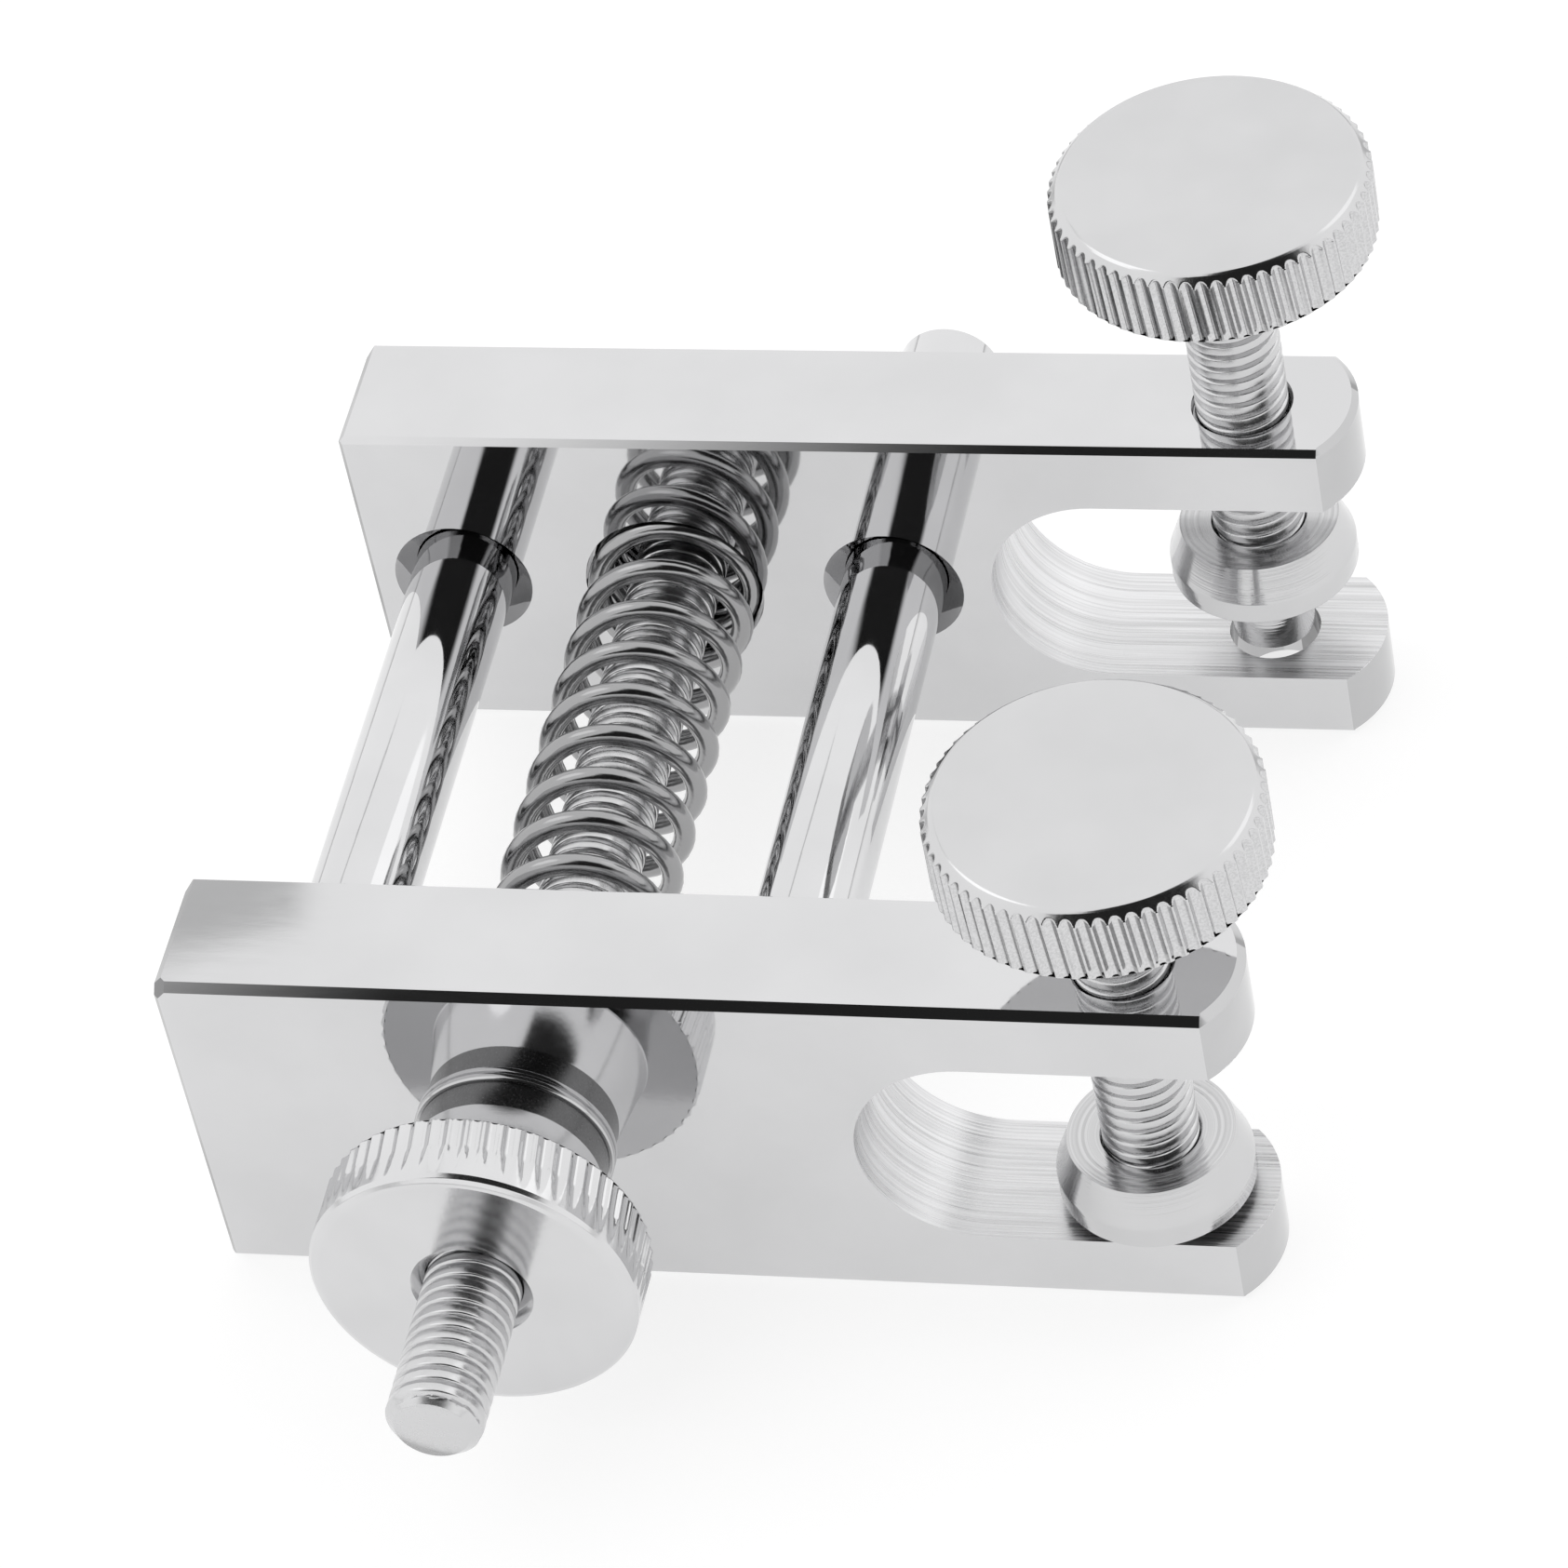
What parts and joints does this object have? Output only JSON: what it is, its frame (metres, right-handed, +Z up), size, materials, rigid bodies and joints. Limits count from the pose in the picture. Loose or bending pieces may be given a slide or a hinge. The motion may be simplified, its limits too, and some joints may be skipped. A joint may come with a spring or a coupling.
{
  "type": "watch case press",
  "caption": "Hand press with slotted jaws sliding on guide rods, drawn together by a knurled nut against a coil spring, with a footed thumbscrew in each jaw.",
  "frame": {"origin": "middle of the whole tool's footprint, on the surface that the jaws stand on", "axes": "+X along the jaws towards the slots' open ends, +Y from the front jaw to the rear jaw along the draw screw and rods, +Z up along the thumbscrews"},
  "size_m": [0.0684, 0.093, 0.0433],
  "materials": {
    "jaw_steel": "mirror polished",
    "rod_steel": "polished",
    "thread_steel": "bright threaded",
    "knurled_steel": "bright knurled",
    "washer_steel": "polished",
    "foot_steel": "turned bright",
    "pin_steel": "plain",
    "spring_steel": "bright wire"
  },
  "bodies": {
    "front_frame": {"front_jaw": "jaw_steel", "guide_rod_left": "rod_steel", "guide_rod_right": "rod_steel", "thrust_washer": "washer_steel", "return_spring": "spring_steel"},
    "rear_slider": {"rear_jaw": "jaw_steel", "draw_screw": "thread_steel", "draw_screw_pin": "pin_steel"},
    "draw_nut_body": {"draw_nut": "knurled_steel"},
    "front_foot_body": {"front_foot": "foot_steel"},
    "front_thumbscrew": {"front_knob": "knurled_steel", "front_stud": "thread_steel", "front_foot_pin": "foot_steel"},
    "rear_foot_body": {"rear_foot": "foot_steel"},
    "rear_thumbscrew": {"rear_knob": "knurled_steel", "rear_stud": "thread_steel", "rear_foot_pin": "foot_steel"}
  },
  "joints": [
    {"name": "nut_turn", "type": "hinge", "parent": "front_frame", "child": "draw_nut_body", "pos_m": [-0.0138, -0.02975, 0.0119], "axis": [0, 1, 0], "range_deg": [-2523, 9363]},
    {"name": "jaw_slide", "type": "slide", "parent": "front_frame", "child": "rear_slider", "axis": [0, 1, 0], "range_m": [-0.026, 0.007], "deforming": ["return_spring"]},
    {"name": "front_foot_slide", "type": "slide", "parent": "front_frame", "child": "front_foot_body", "axis": [0, 0, 1], "range_m": [-0.00015, 0.0094]},
    {"name": "front_thumb_turn", "type": "hinge", "parent": "front_foot_body", "child": "front_thumbscrew", "pos_m": [0.0242, -0.019, 0.012], "axis": [0, 0, 1], "range_deg": [-57, 3387]},
    {"name": "rear_foot_slide", "type": "slide", "parent": "rear_slider", "child": "rear_foot_body", "axis": [0, 0, 1], "range_m": [-0.0051, 0.0044]},
    {"name": "rear_thumb_turn", "type": "hinge", "parent": "rear_foot_body", "child": "rear_thumbscrew", "pos_m": [0.0242, 0.0294, 0.017], "axis": [0, 0, 1], "range_deg": [-1839, 1587]}
  ],
  "couplings": [
    {"joint": "nut_turn", "follows": "jaw_slide", "rad_per_m": -6283.2},
    {"joint": "front_thumb_turn", "follows": "front_foot_slide", "rad_per_m": 6283.2},
    {"joint": "rear_thumb_turn", "follows": "rear_foot_slide", "rad_per_m": 6283.2}
  ]
}
